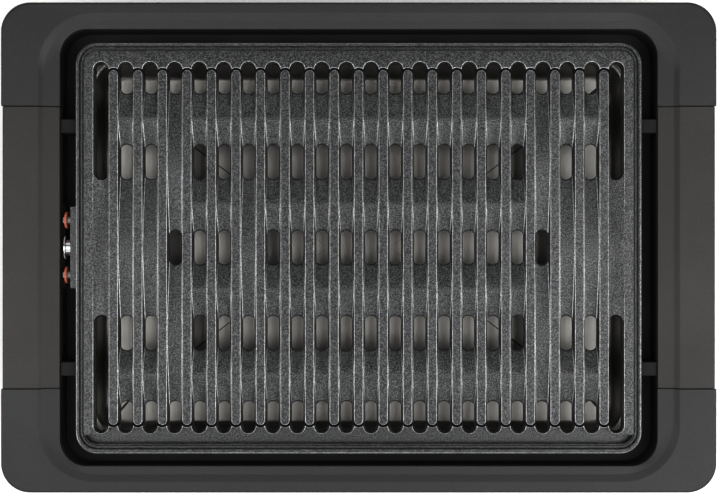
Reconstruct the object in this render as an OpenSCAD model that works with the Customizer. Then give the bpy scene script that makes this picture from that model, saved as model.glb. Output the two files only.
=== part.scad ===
// Electric griddle: a cast grill plate with its own heating element, over a drip tray,
// in a moulded frame with two side handles and a lower tub on four feet.
// +X is the right-hand side, +Y the rear, +Z up. The origin is under the middle of the feet.

/* [Frame] */
// Overall width across both side wings
frame_w = 490; // [484:1:500]
// Overall depth, front to rear
frame_d = 336; // [332:1:346]
// Outer corner radius of the frame
frame_r = 20; // [14:1:26]
// Height of the side wings above the table
frame_top = 88; // [86:0.5:89]
// Width of the opening in the frame
opening_w = 410.4; // [409:0.2:412]
// Depth of the opening in the frame
opening_d = 299.4; // [298:0.2:302]
// Corner radius of the opening
opening_r = 18.5; // [15:0.5:22]
// Wall thickness of the mouldings
wall = 2.5; // [2:0.1:3]
// How far the inner band lies below the wings
band_drop = 2.5; // [1.5:0.1:2.8]
// Height of the frame's outer skirt
skirt_h = 14; // [10:1:16]

/* [Handles] */
// Length of each handle, front to rear
handle_l = 193.2; // [170:0.2:210]
// How far a handle stands back from the frame's outer edge
handle_inset = 1; // [0.5:0.1:2]
// Distance of the handle screws from the middle
handle_screw_y = 70; // [50:1:80]

/* [Grill plate] */
// Width of the plate
plate_w = 387; // [385:0.5:388]
// Depth of the plate
plate_d = 280; // [279:0.5:281]
// Corner radius of the plate
plate_r = 14.7; // [12:0.1:18]
// Height of the plate's edge bead above the table
plate_top = 90; // [89.5:0.1:90.5]
// Number of raised ribs
rib_n = 21; // [21:2:21]
// Distance from rib to rib
rib_pitch = 16.77; // [16.6:0.01:16.9]
// Width of a rib
rib_w = 6.3; // [5.5:0.1:7]
// Length of a rib
rib_l = 242.8; // [240:0.2:244]
// Width of the through slots
slot_w = 9; // [8:0.1:9.4]
// Distance from the middle to the far end of the outer slots
slot_reach = 126.9; // [126:0.1:128]

/* [Heating element] */
// Diameter of the element's sheath
sheath_d = 6.4; // [6:0.1:6.6]
// Distance between the two terminals
terminal_pitch = 38; // [36:0.1:40]
// Height of the terminals above the table
terminal_z = 76; // [75:0.1:76.5]
// Radius of the element's bends
bend_r = 16; // [14:1:18]

/* [Drip tray] */
// Width of the tray's flange
tray_w = 379; // [377:0.5:380]
// Depth of the tray's flange
tray_d = 278; // [276:0.5:279]
// Height of the tray's floor above the table
tray_floor = 46; // [44:0.5:50]

/* [Tub and feet] */
// Width of the lower tub
tub_w = 424; // [422:1:426]
// Depth of the lower tub
tub_d = 312; // [311:1:314]
// Height of a foot with its pad
foot_h = 10; // [8:0.5:11]
// Diameter of a foot
foot_d = 26; // [24:1:30]
// Distance of the feet from the middle, left and right
foot_x = 180; // [170:1:185]
// Distance of the feet from the middle, front and rear
foot_y = 125; // [115:1:130]

/* [Hidden] */
$fn = 48;

// finishes
frame_black = [0.17, 0.17, 0.175];
handle_black = [0.19, 0.185, 0.18];
cast_grey = [0.30, 0.31, 0.31];
bare_metal = [0.72, 0.71, 0.67];
bright_metal = [0.86, 0.86, 0.86];
seal_red = [0.62, 0.25, 0.16];
rubber_black = [0.08, 0.08, 0.08];

// levels
tub_rim = 60;
ledge_top = tub_rim + 3;
bay_floor = frame_top - 8;
band_top = frame_top - band_drop;
skin = 3;
deck_top = plate_top - 0.8;
deck_bottom = plate_top - 6.8;
slot_floor = plate_top - 5.4;
skirt_bottom = plate_top - 10;
ridge_bottom = terminal_z - 5;
pad_h = 2;
boss_split = tub_rim - 8;
shield_z = 24;
shield_rim = 4;
handle_lip = 7;
port_low = ledge_top + 1;

// widths that follow from the ones above
crease_w = 434;
crease_d = 314;
crease_r = 38;
ledge_w = tray_w - 5;
ledge_d = tray_d - 10;
crease_foot = crease_w / 2 - 0.7;
crease_head = crease_w / 2 + 2.8;
handle_x = frame_w / 2 - handle_inset;
handle_screw_x = handle_x - 18;
bay_l = handle_l + 0.6;
bay_w = (frame_w - opening_w) / 2 + 2;
port_half = 32;
tub_r = 24;
ledge_r = 14;
channel_w = rib_pitch - rib_w;
rest_y = 83.6;
rest_in = tray_w / 2 + 1;
bead_w = 2.9;
groove_w = 5.5;
tab_x = -plate_w / 2 - 5;
seal_x = tab_x - 2.9;
pin_x = -opening_w / 2 + 0.5;
sheath_r = sheath_d / 2;
ridge_w = 12;
seat_gap = 0.3;
bore_r = 4.5;
sleeve_l = 68;

// Screws: shank radius, pilot radius, clearance radius, head radius and head height
shank_r = 1.45;
pilot_r = 1.5;
clear_r = 2.1;
head_r = 3.4;
head_h = 2.4;

frame_screw_at = [for (x = [-1, 1], y = [-115, -45, 45, 115]) [x * 200.5, y],
                  for (x = [-95, 95], y = [-1, 1]) [x, y * 146]];
shield_screw_at = [for (x = [-120, 120], y = [-80, 80]) [x, y]];

// Rows of slots as [near end, far end] from the middle, front to rear
row_c = [-12.65, 12.65];
row_b = [46, 71.5];
row_a = [104.7, slot_reach];
function flip(row) = [-row[1], -row[0]];
function channel_x(k) = (k - rib_n / 2) * rib_pitch;

// Which slots a channel has: the element passes under the places that have none
crossings = [3, rib_n - 3];
solid_middle = [1, 2, 6, rib_n - 2, rib_n - 1];
function has(list, k) = len(search(k, list)) > 0;
function slots_of(k) = concat(
    [flip(row_a)],
    has(crossings, k) ? [] : [flip(row_b)],
    has(solid_middle, k) ? [] : [row_c],
    has(crossings, k) ? [] : [row_b],
    [row_a]);

// ---------- plan shapes ----------

// Rectangle with round corners, centred
module rounded(w, d, r) {
    square([w - 2 * r, d], center = true);
    square([w, d - 2 * r], center = true);
    for (x = [-1, 1], y = [-1, 1])
        translate([x * (w / 2 - r), y * (d / 2 - r)])
            circle(r = r);
}

// The same rectangle with a smaller one cut out of it
module rounded_ring(outer_w, outer_d, outer_r, inner_w, inner_d, inner_r) {
    difference() {
        rounded(outer_w, outer_d, outer_r);
        rounded(inner_w, inner_d, inner_r);
    }
}

// Slot with round ends that runs front to rear between two places
module racetrack(w, from, to) {
    translate([-w / 2, from + w / 2])
        square([w, to - from - w]);
    for (y = [from + w / 2, to - w / 2])
        translate([0, y])
            circle(d = w);
}

module slab(z, h) {
    translate([0, 0, z])
        linear_extrude(h)
            children();
}

// ---------- frame and handles ----------

module frame_shell() {
    // side wings and the outer part of the front and rear bands
    slab(frame_top - skin, skin)
        rounded_ring(frame_w, frame_d, frame_r, crease_w, crease_d, crease_r);
    // lower inner band round the opening
    slab(band_top - skin, skin)
        rounded_ring(crease_w + 2 * wall, crease_d + 2 * wall, crease_r + wall,
                     opening_w, opening_d, opening_r);
    // outer skirt
    slab(frame_top - skirt_h, skirt_h - 1)
        rounded_ring(frame_w, frame_d, frame_r, frame_w - 2 * wall, frame_d - 2 * wall, frame_r - wall);
    // inner wall down to the tub
    slab(tub_rim, band_top - tub_rim - 1)
        rounded_ring(opening_w + 2 * wall, opening_d + 2 * wall, opening_r + wall,
                     opening_w, opening_d, opening_r);
    // ledge that carries the tray and closes the rim of the tub
    slab(tub_rim, ledge_top - tub_rim)
        rounded_ring(tub_w, tub_d, tub_r, ledge_w, ledge_d, ledge_r);
    // short posts for the screws that come up through the tub
    for (p = frame_screw_at)
        translate([p[0], p[1], boss_split])
            cylinder(r = 4.5, h = tub_rim - boss_split + 1);
}

// Room for one handle, cut out of the right-hand wing
module handle_bay() {
    translate([opening_w / 2 - 1, -bay_l / 2, bay_floor])
        cube([bay_w, bay_l, frame_top - bay_floor + 1]);
    translate([tub_w / 2 + 1, -bay_l / 2, tub_rim + 1])
        cube([bay_w, bay_l, frame_top - tub_rim]);
}

// Arms and end walls that the right-hand handle is screwed to
module handle_seats() {
    arm_w = 14;
    arm_h = 7;
    inner = opening_w / 2 + 1;
    for (s = [-1, 1]) {
        translate([inner, s * handle_screw_y - arm_w / 2, bay_floor - arm_h])
            cube([handle_screw_x + arm_w / 2 + 2 - inner, arm_w, arm_h]);
        translate([inner, s * (bay_l / 2 + wall / 2) - wall / 2, frame_top - skirt_h])
            cube([frame_w / 2 - 1 - inner, wall, skirt_h - skin - 0.5]);
    }
}

module outer_frame() {
    color(frame_black)
        difference() {
            union() {
                difference() {
                    frame_shell();
                    for (m = [0, 1])
                        mirror([m, 0, 0])
                            handle_bay();
                }
                for (m = [0, 1])
                    mirror([m, 0, 0])
                        handle_seats();
            }
            for (p = frame_screw_at)
                translate([p[0], p[1], boss_split - 1])
                    cylinder(r = pilot_r, h = 11);
            for (x = [-1, 1], y = [-1, 1])
                translate([x * handle_screw_x, y * handle_screw_y, bay_floor - 8])
                    cylinder(r = clear_r, h = 9);
            // opening for the heat control, under the left handle
            translate([-opening_w / 2 - wall - 1, -port_half, port_low])
                cube([wall + 2, 2 * port_half, frame_top - port_low]);
        }
}

// Right-hand handle: a hollow grip with the frame's own section
module handle() {
    inner = opening_w / 2 + 0.1;
    outer = handle_x;
    edge = 1.6;
    difference() {
        union() {
            translate([0, handle_l / 2, 0])
                rotate([90, 0, 0])
                    linear_extrude(handle_l)
                        polygon([[inner, frame_top - 3.7], [inner, frame_top - 5.9],
                                 [crease_foot, frame_top - 5.2], [crease_head, frame_top - skin],
                                 [outer - wall - 1, frame_top - skin], [outer - wall, frame_top - skin - 2],
                                 [outer - wall, frame_top - handle_lip], [outer, frame_top - handle_lip],
                                 [outer, frame_top - edge], [outer - edge, frame_top],
                                 [crease_head, frame_top], [crease_foot, band_top - 0.2]]);
            for (s = [-1, 1]) {
                translate([handle_screw_x, s * handle_screw_y, bay_floor])
                    cylinder(r = 5, h = 6);
                translate([crease_foot - 2, s * (handle_l - wall) / 2 - wall / 2, frame_top - handle_lip])
                    cube([outer - 1 - crease_foot + 2, wall, handle_lip - skin + 0.5]);
            }
        }
        for (s = [-1, 1])
            translate([handle_screw_x, s * handle_screw_y, bay_floor - 1])
                cylinder(r = pilot_r, h = 6.5);
    }
}

module left_handle() {
    color(handle_black) mirror([1, 0, 0]) handle();
}

module right_handle() {
    color(handle_black) handle();
}

// ---------- fasteners ----------

// Pan-head screw that points up, its head below z
module screw(length) {
    cylinder(r = shank_r, h = length);
    difference() {
        translate([0, 0, -head_h])
            cylinder(r = head_r, h = head_h);
        translate([0, 0, -head_h - 0.1])
            for (a = [0, 90])
                rotate([0, 0, a])
                    translate([-2, -0.4, 0])
                        cube([4, 0.8, 1.2]);
    }
}

module handle_screws() {
    color(bright_metal)
        for (x = [-1, 1], y = [-1, 1])
            translate([x * handle_screw_x, y * handle_screw_y, bay_floor - 7])
                screw(11.5);
}

module frame_screws() {
    color(bright_metal)
        for (p = frame_screw_at)
            translate([p[0], p[1], boss_split - 8])
                screw(16);
}

module shield_screws() {
    color(bright_metal)
        for (p = shield_screw_at)
            translate([p[0], p[1], shield_z + 1])
                mirror([0, 0, 1])
                    screw(8);
}

module foot_screws() {
    color(bright_metal)
        for (x = [-1, 1], y = [-1, 1])
            translate([x * foot_x, y * foot_y, foot_h - 4])
                screw(12);
}

// ---------- tub, shield and feet ----------

module base_tub() {
    color(frame_black)
        difference() {
            union() {
                slab(foot_h, skin)
                    rounded(tub_w, tub_d, tub_r);
                slab(foot_h, tub_rim - foot_h)
                    rounded_ring(tub_w, tub_d, tub_r, tub_w - 2 * skin, tub_d - 2 * skin, tub_r - skin);
                for (p = frame_screw_at)
                    translate([p[0], p[1], foot_h])
                        cylinder(r = 5.5, h = boss_split - foot_h);
                for (p = shield_screw_at)
                    translate([p[0], p[1], foot_h])
                        cylinder(r = 5, h = shield_z - foot_h);
                for (x = [-1, 1], y = [-1, 1])
                    translate([x * foot_x, y * foot_y, foot_h])
                        cylinder(r = 5, h = 11);
            }
            for (p = frame_screw_at)
                translate([p[0], p[1], foot_h - 1]) {
                    cylinder(r = head_r + 0.6, h = boss_split - foot_h - 7);
                    cylinder(r = clear_r, h = boss_split - foot_h + 2);
                }
            for (p = shield_screw_at)
                translate([p[0], p[1], shield_z - 9])
                    cylinder(r = pilot_r, h = 10);
            for (x = [-1, 1], y = [-1, 1])
                translate([x * foot_x, y * foot_y, foot_h - 1])
                    cylinder(r = pilot_r, h = 10);
        }
}

module heat_shield() {
    shield_w = tray_w - 11;
    shield_d = tray_d - 18;
    color(bare_metal)
        difference() {
            union() {
                slab(shield_z, 1)
                    rounded(shield_w, shield_d, 16);
                slab(shield_z, shield_rim)
                    rounded_ring(shield_w, shield_d, 16, shield_w - 2, shield_d - 2, 15);
            }
            for (p = shield_screw_at)
                translate([p[0], p[1], shield_z - 1])
                    cylinder(r = clear_r, h = 3);
        }
}

module foot(x, y) {
    color(frame_black)
        translate([x, y, 0])
            difference() {
                translate([0, 0, pad_h])
                    cylinder(d = foot_d, h = foot_h - pad_h);
                translate([0, 0, pad_h - 1])
                    cylinder(r = head_r + 0.6, h = foot_h - pad_h - 3);
                cylinder(r = clear_r, h = foot_h + 1);
            }
}

module foot_pad(x, y) {
    color(rubber_black)
        translate([x, y, 0])
            difference() {
                cylinder(d = foot_d - 4, h = pad_h);
                translate([0, 0, -1])
                    cylinder(r = head_r + 0.6, h = pad_h + 2);
            }
}

// Block on the frame's inner wall: the plate sits on its step, and its lug keeps the plate central
module plate_rest(x, y) {
    color(frame_black)
        translate([0, y, 0])
            mirror([x < 0 ? 1 : 0, 0, 0]) {
                rest_w = 9.5;
                reach = opening_w / 2 - 0.05 - rest_in;
                lug = opening_w / 2 - 0.05 - plate_w / 2 - 0.9;
                translate([rest_in, -rest_w / 2, ledge_top])
                    cube([reach, rest_w, skirt_bottom - seat_gap - ledge_top]);
                translate([rest_in + reach - lug, -rest_w / 2, ledge_top])
                    cube([lug, rest_w, skirt_bottom + 2.5 - ledge_top]);
            }
}

// Heat resistant lining of the control opening, open at the top where the handle closes it
module control_port() {
    color(rubber_black)
        translate([-opening_w / 2 - 0.1, 0, 0])
            rotate([90, 0, -90]) {
                linear_extrude(wall + 0.2)
                    port_outline(port_half - 0.2, port_low + 0.2);
                translate([0, 0, wall + 0.1])
                    linear_extrude(1.6)
                        port_outline(port_half + 2, ledge_top + 0.1);
            }
}

// Three-sided outline of the lining, with its half width and lower edge
module port_outline(half, low) {
    top = frame_top - 6.1;
    clear = port_half - 3;
    difference() {
        translate([-half, low])
            square([2 * half, top - low]);
        translate([-clear, port_low + 2.5])
            square([2 * clear, top - port_low]);
    }
}

// ---------- drip tray ----------

module drip_tray() {
    bowl_w = tray_w - 9;
    bowl_d = tray_d - 18;
    flange = ledge_top + seat_gap;
    color(bare_metal) {
        slab(tray_floor - 1, 1)
            rounded(bowl_w, bowl_d, 16);
        slab(tray_floor - 1, flange + 1.2 - tray_floor + 1)
            rounded_ring(bowl_w, bowl_d, 16, bowl_w - 2, bowl_d - 2, 15);
        slab(flange, 1.2)
            rounded_ring(tray_w, tray_d, 18, bowl_w - 2, bowl_d - 2, 15);
    }
}

// ---------- grill plate ----------

// All the through slots in plan
module slot_plan() {
    for (k = [1 : rib_n - 1], s = slots_of(k))
        translate([channel_x(k), 0])
            racetrack(slot_w, s[0], s[1]);
    // the outermost channels have one long slot at each end
    for (k = [0, rib_n], m = [0, 1])
        translate([channel_x(k), 0])
            mirror([0, m])
                racetrack(slot_w, row_b[0], slot_reach);
}

// Sunken field of the plate in plan: round bays over the slot ends, hollows round the rib ends
module field_plan() {
    end_y = rib_l / 2 - rib_w / 2;
    square([(rib_n - 1) * rib_pitch, 2 * end_y], center = true);
    for (k = [1 : rib_n - 1], m = [-1, 1])
        translate([channel_x(k), m * (slot_reach - channel_w / 2)])
            circle(d = channel_w);
    for (k = [1 : rib_n - 1], m = [-1, 1])
        translate([channel_x(k) - channel_w / 2, m * (slot_reach - channel_w / 2) - 5])
            square([channel_w, 10]);
    for (j = [0 : rib_n - 1], m = [-1, 1])
        translate([channel_x(j) + rib_pitch / 2, m * end_y])
            circle(r = rib_w / 2 + 1.4);
}

// One gable of a channel floor: low at both slots, level with the ribs halfway
module gable(x0, x1, from, to) {
    translate([x0, 0, 0])
        rotate([90, 0, 90])
            linear_extrude(x1 - x0)
                polygon([[from, slot_floor - 0.5], [to, slot_floor - 0.5], [to, slot_floor],
                         [(from + to) / 2, deck_top - 0.4], [from, slot_floor]]);
}

module channel_floors() {
    for (k = [1 : rib_n - 1]) {
        s = slots_of(k);
        for (i = [0 : len(s) - 2])
            gable(channel_x(k) - channel_w / 2 - 1, channel_x(k) + channel_w / 2 + 1, s[i][1], s[i + 1][0]);
    }
}

// The element's route: half distances of its runs from the middle, and where it crosses
run_outer = 88.1;
run_inner = 29.3;
cross_x = channel_x(3);
cross_mid = channel_x(6);
jog_x = -165;
jog_r = (run_inner - terminal_pitch / 2) / 2;

// Straight length of the children's section, where x is across the run and y is the height
module run(from, to) {
    v = to - from;
    translate([from[0], from[1], 0])
        rotate([90, 0, atan2(v[1], v[0]) + 90])
            linear_extrude(norm(v))
                children();
}

// Quarter bend of the section about a centre, from a start angle
module quarter(centre, start, r) {
    translate([centre[0], centre[1], 0])
        rotate([0, 0, start])
            rotate_extrude(angle = 90)
                translate([r, 0])
                    children();
}

// Quarter bend at a corner, given the unit steps that leave it along both legs
module bend(corner, leg_a, leg_b) {
    quarter(corner + bend_r * (leg_a + leg_b),
            atan2(-leg_a[1] - leg_b[1], -leg_a[0] - leg_b[0]) - 45, bend_r)
        children();
}

// Rear half of the route, from the S-bend behind the terminal to the middle crossing
module half_route() {
    up = [0, 1];
    right = [1, 0];
    run([jog_x + jog_r, run_inner], [cross_x - bend_r, run_inner]) children();
    bend([cross_x, run_inner], -right, up) children();
    run([cross_x, run_inner + bend_r], [cross_x, run_outer - bend_r]) children();
    bend([cross_x, run_outer], right, -up) children();
    run([cross_x + bend_r, run_outer], [-cross_x - bend_r, run_outer]) children();
    bend([-cross_x, run_outer], -right, -up) children();
    run([-cross_x, run_outer - bend_r], [-cross_x, run_inner + bend_r]) children();
    bend([-cross_x, run_inner], -right, up) children();
    run([-cross_x - bend_r, run_inner], [cross_mid + bend_r, run_inner]) children();
    bend([cross_mid, run_inner], right, -up) children();
    run([cross_mid, run_inner - bend_r], [cross_mid, 0]) children();
}

// Terminal leg from a place x, and the S-bend out to the inner run
module terminal_route(x) {
    run([x, terminal_pitch / 2], [jog_x - jog_r, terminal_pitch / 2]) children();
    quarter([jog_x - jog_r, terminal_pitch / 2 + jog_r], -90, jog_r) children();
    quarter([jog_x + jog_r, run_inner - jog_r], 90, jog_r) children();
}

// Ridges under the plate that hold the element, the boss of the probe and the terminal tab
module ridges() {
    height = deck_bottom - ridge_bottom + 0.5;
    boss_w = 16;
    tab_w = 57;
    difference() {
        union() {
            for (m = [0, 1])
                mirror([0, m, 0]) {
                    half_route()
                        translate([-ridge_w / 2, ridge_bottom])
                            square([ridge_w, height]);
                    translate([tab_x, terminal_pitch / 2 - ridge_w / 2, ridge_bottom])
                        cube([jog_x - tab_x + ridge_w / 2, ridge_w, height]);
                    translate([jog_x - ridge_w / 2, terminal_pitch / 2, ridge_bottom])
                        cube([ridge_w, run_inner - terminal_pitch / 2 + ridge_w / 2, height]);
                    translate([jog_x, run_inner - ridge_w / 2, ridge_bottom])
                        cube([jog_r + 1, ridge_w, height]);
                }
            translate([tab_x, -boss_w / 2, ridge_bottom])
                cube([sleeve_l + 4, boss_w, height]);
            translate([tab_x, -tab_w / 2, ridge_bottom])
                cube([11, tab_w, height]);
        }
        slab(ridge_bottom - 1, height + 2)
            slot_plan();
    }
}

// Section of the open groove for the element
module groove_section() {
    groove = sheath_d + 0.4;
    translate([-groove / 2, ridge_bottom - 1])
        square([groove, terminal_z + groove / 2 + 1 - ridge_bottom]);
}

module grill_plate() {
    color(cast_grey)
        difference() {
            union() {
                // lower web with the slots
                slab(deck_bottom, slot_floor - deck_bottom)
                    difference() {
                        rounded(plate_w, plate_d, plate_r);
                        slot_plan();
                    }
                // margin round the field
                slab(slot_floor, deck_top - 1.3 - slot_floor)
                    difference() {
                        rounded(plate_w, plate_d, plate_r);
                        field_plan();
                        slot_plan();
                    }
                slab(deck_top - 1.3, 1.3)
                    difference() {
                        rounded(plate_w - 2 * groove_w, plate_d - 2 * groove_w, plate_r - groove_w);
                        field_plan();
                        slot_plan();
                    }
                // raised bead and the skirt below it
                slab(deck_top - 1.3, plate_top - deck_top + 1.3)
                    rounded_ring(plate_w, plate_d, plate_r,
                                 plate_w - 2 * bead_w, plate_d - 2 * bead_w, plate_r - bead_w);
                slab(skirt_bottom, deck_bottom - skirt_bottom)
                    rounded_ring(plate_w, plate_d, plate_r, plate_w - 10, plate_d - 10, plate_r - 5);
                channel_floors();
                for (j = [0 : rib_n - 1])
                    translate([channel_x(j) + rib_pitch / 2, 0, 0])
                        slab(slot_floor - 0.5, deck_top - slot_floor + 0.5)
                            racetrack(rib_w, -rib_l / 2, rib_l / 2);
                ridges();
            }
            // groove that the element lies in
            for (m = [0, 1])
                mirror([0, m, 0]) {
                    half_route() groove_section();
                    terminal_route(tab_x - 1) groove_section();
                }
            // bore for the probe sleeve
            translate([tab_x - 1, 0, terminal_z])
                rotate([0, 90, 0])
                    cylinder(r = bore_r, h = sleeve_l + 1);
        }
}

// ---------- heating element and terminals ----------

module heating_element() {
    color(bright_metal)
        for (m = [0, 1])
            mirror([0, m, 0]) {
                half_route() sheath_section();
                terminal_route(seal_x) sheath_section();
            }
}

module sheath_section() {
    translate([0, terminal_z])
        circle(r = sheath_r);
}

module end_seal(y) {
    color(seal_red)
        translate([seal_x - 1.6, y, terminal_z])
            rotate([0, 90, 0])
                difference() {
                    cylinder(r = 5.75, h = 1.6);
                    translate([0, 0, -1])
                        cylinder(r = 2.45, h = 4);
                }
}

module terminal_pin(y) {
    color(bright_metal)
        translate([pin_x, y, terminal_z])
            rotate([0, 90, 0]) {
                cylinder(r1 = 1.8, r2 = 2.4, h = 0.6);
                translate([0, 0, 0.6])
                    cylinder(r = 2.4, h = seal_x - pin_x - 0.6);
            }
}

// Thin flange on a short tube, which leads the probe into its sleeve
module probe_guard_ring() {
    tube_l = 4.6;
    color(bright_metal)
        translate([tab_x - tube_l, 0, terminal_z])
            rotate([0, 90, 0])
                difference() {
                    union() {
                        cylinder(r = 8.15, h = 1.2);
                        cylinder(r = 6, h = tube_l);
                    }
                    translate([0, 0, -1])
                        cylinder(r = bore_r + 0.4, h = tube_l + 2);
                }
}

module probe_sleeve() {
    color(bare_metal)
        translate([tab_x - 2, 0, terminal_z])
            rotate([0, 90, 0])
                difference() {
                    cylinder(r = bore_r - 0.02, h = sleeve_l);
                    translate([0, 0, -1])
                        cylinder(r = 3.5, h = sleeve_l - 2);
                }
}

// ---------- placing ----------

outer_frame();
left_handle();
right_handle();
handle_screws();
base_tub();
frame_screws();
heat_shield();
shield_screws();
drip_tray();
grill_plate();
heating_element();
end_seal(-terminal_pitch / 2);  // front_end_seal
end_seal(terminal_pitch / 2);  // rear_end_seal
terminal_pin(-terminal_pitch / 2);  // front_terminal_pin
terminal_pin(terminal_pitch / 2);  // rear_terminal_pin
probe_guard_ring();
probe_sleeve();
control_port();
plate_rest(-1, -rest_y);  // plate_rest_front_left
plate_rest(1, -rest_y);  // plate_rest_front_right
plate_rest(-1, rest_y);  // plate_rest_rear_left
plate_rest(1, rest_y);  // plate_rest_rear_right
foot(-foot_x, -foot_y);  // foot_front_left
foot(foot_x, -foot_y);  // foot_front_right
foot(-foot_x, foot_y);  // foot_rear_left
foot(foot_x, foot_y);  // foot_rear_right
foot_pad(-foot_x, -foot_y);  // foot_pad_front_left
foot_pad(foot_x, -foot_y);  // foot_pad_front_right
foot_pad(-foot_x, foot_y);  // foot_pad_rear_left
foot_pad(foot_x, foot_y);  // foot_pad_rear_right
foot_screws();
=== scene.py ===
# %% [markdown]
# # An electric griddle, seen from straight above
# A cast grill plate with ribs and drain slots sits over a metal drip tray in a black moulded
# frame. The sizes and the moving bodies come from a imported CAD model. This lesson builds the
# finer shapes of each piece round that model and gives every piece its finish.

# %% Load the fixed frame
from math import asin, atan2, cos, hypot, pi, radians, sin, sqrt, tan

import bmesh
import bpy
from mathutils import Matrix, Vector


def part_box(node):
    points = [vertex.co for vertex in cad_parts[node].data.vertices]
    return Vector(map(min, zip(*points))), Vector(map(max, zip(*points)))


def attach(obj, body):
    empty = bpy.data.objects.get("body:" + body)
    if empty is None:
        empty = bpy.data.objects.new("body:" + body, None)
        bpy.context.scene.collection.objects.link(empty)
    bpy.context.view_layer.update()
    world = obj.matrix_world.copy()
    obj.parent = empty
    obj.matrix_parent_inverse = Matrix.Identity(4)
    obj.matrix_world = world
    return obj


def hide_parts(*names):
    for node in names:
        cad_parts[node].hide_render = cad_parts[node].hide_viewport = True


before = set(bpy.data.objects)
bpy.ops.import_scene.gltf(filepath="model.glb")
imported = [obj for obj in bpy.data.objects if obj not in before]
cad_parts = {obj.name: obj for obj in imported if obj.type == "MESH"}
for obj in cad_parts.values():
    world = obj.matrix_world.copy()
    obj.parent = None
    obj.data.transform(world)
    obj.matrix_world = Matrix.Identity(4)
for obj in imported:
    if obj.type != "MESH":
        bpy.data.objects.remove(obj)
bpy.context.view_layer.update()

MM = 0.001

# %% [markdown]
# ## A ring of points
# Nearly every piece here is a rectangle in plan with round corners: frame, tray, tub and plate.
# One helper makes such a ring at a height. Rings with the same number of points can be joined
# by strips of faces, which is how a maker would loft a moulding. The points run anticlockwise
# from the right-hand end of the rear right corner.

# %% Rings in plan
CORNER_STEPS = 10


def round_rectangle(half_x, half_y, radius, height, steps=CORNER_STEPS):
    """Points of a rectangle with round corners, anticlockwise, at one height, in millimetres."""
    points = []
    for quarter in range(4):
        right = 1 if quarter in (0, 3) else -1
        rear = 1 if quarter in (0, 1) else -1
        for step in range(steps + 1):
            turn = radians(90 * (quarter + step / steps))
            x = right * (half_x - radius) + radius * cos(turn)
            y = rear * (half_y - radius) + radius * sin(turn)
            points.append((x, y, height))
    return points


def circle(x, y, radius, height, steps=20):
    """Points of a level circle, in millimetres."""
    turns = [2 * pi * step / steps for step in range(steps)]
    return [(x + radius * cos(turn), y + radius * sin(turn), height) for turn in turns]


def rounded_path(corners, steps=4):
    """A closed outline from corners (across, up, radius): each corner becomes an arc."""
    path = []
    for index, (across, up, radius) in enumerate(corners):
        here = Vector((across, up))
        before = Vector(corners[index - 1][:2]) - here
        after = Vector(corners[(index + 1) % len(corners)][:2]) - here
        half_angle = before.angle(after) / 2
        reach = min(radius / tan(half_angle), 0.49 * before.length, 0.49 * after.length)
        start = here + before.normalized() * reach
        end = here + after.normalized() * reach
        for step in range(steps + 1):
            t = step / steps
            path.append(start * (1 - t) ** 2 + here * 2 * t * (1 - t) + end * t * t)
    return path


def drawn_in(path, amount):
    """The same closed outline, moved inwards by an amount, for the bevel at a cut end."""
    area = sum(a.x * b.y - b.x * a.y for a, b in zip(path, path[1:] + path[:1]))
    side = 1 if area > 0 else -1
    moved = []
    for index, point in enumerate(path):
        along = path[(index + 1) % len(path)] - path[index - 1]
        if along.length > 0:
            along.normalize()
        moved.append(point + side * amount * Vector((-along.y, along.x)))
    return moved


print("a ring has", len(round_rectangle(10, 10, 2, 0)), "points")

# %% [markdown]
# ## Building a closed piece
# A bmesh is Blender's editable mesh. The class below keeps one and offers the three moves that
# a moulder needs: put down a ring, join rings with a strip, and close flat areas with a lid
# that may have holes. Its coat says which of the piece's finishes new faces get. At the end it
# becomes an object that rides on a CAD body. Faces are shaded smooth, sharp edges stay sharp,
# and weighted normals keep the big flat faces flat.

# %% The form class
FIRST_COAT = 0
SECOND_COAT = 1
THIRD_COAT = 2
SHARP_ANGLE = radians(38)


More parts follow.
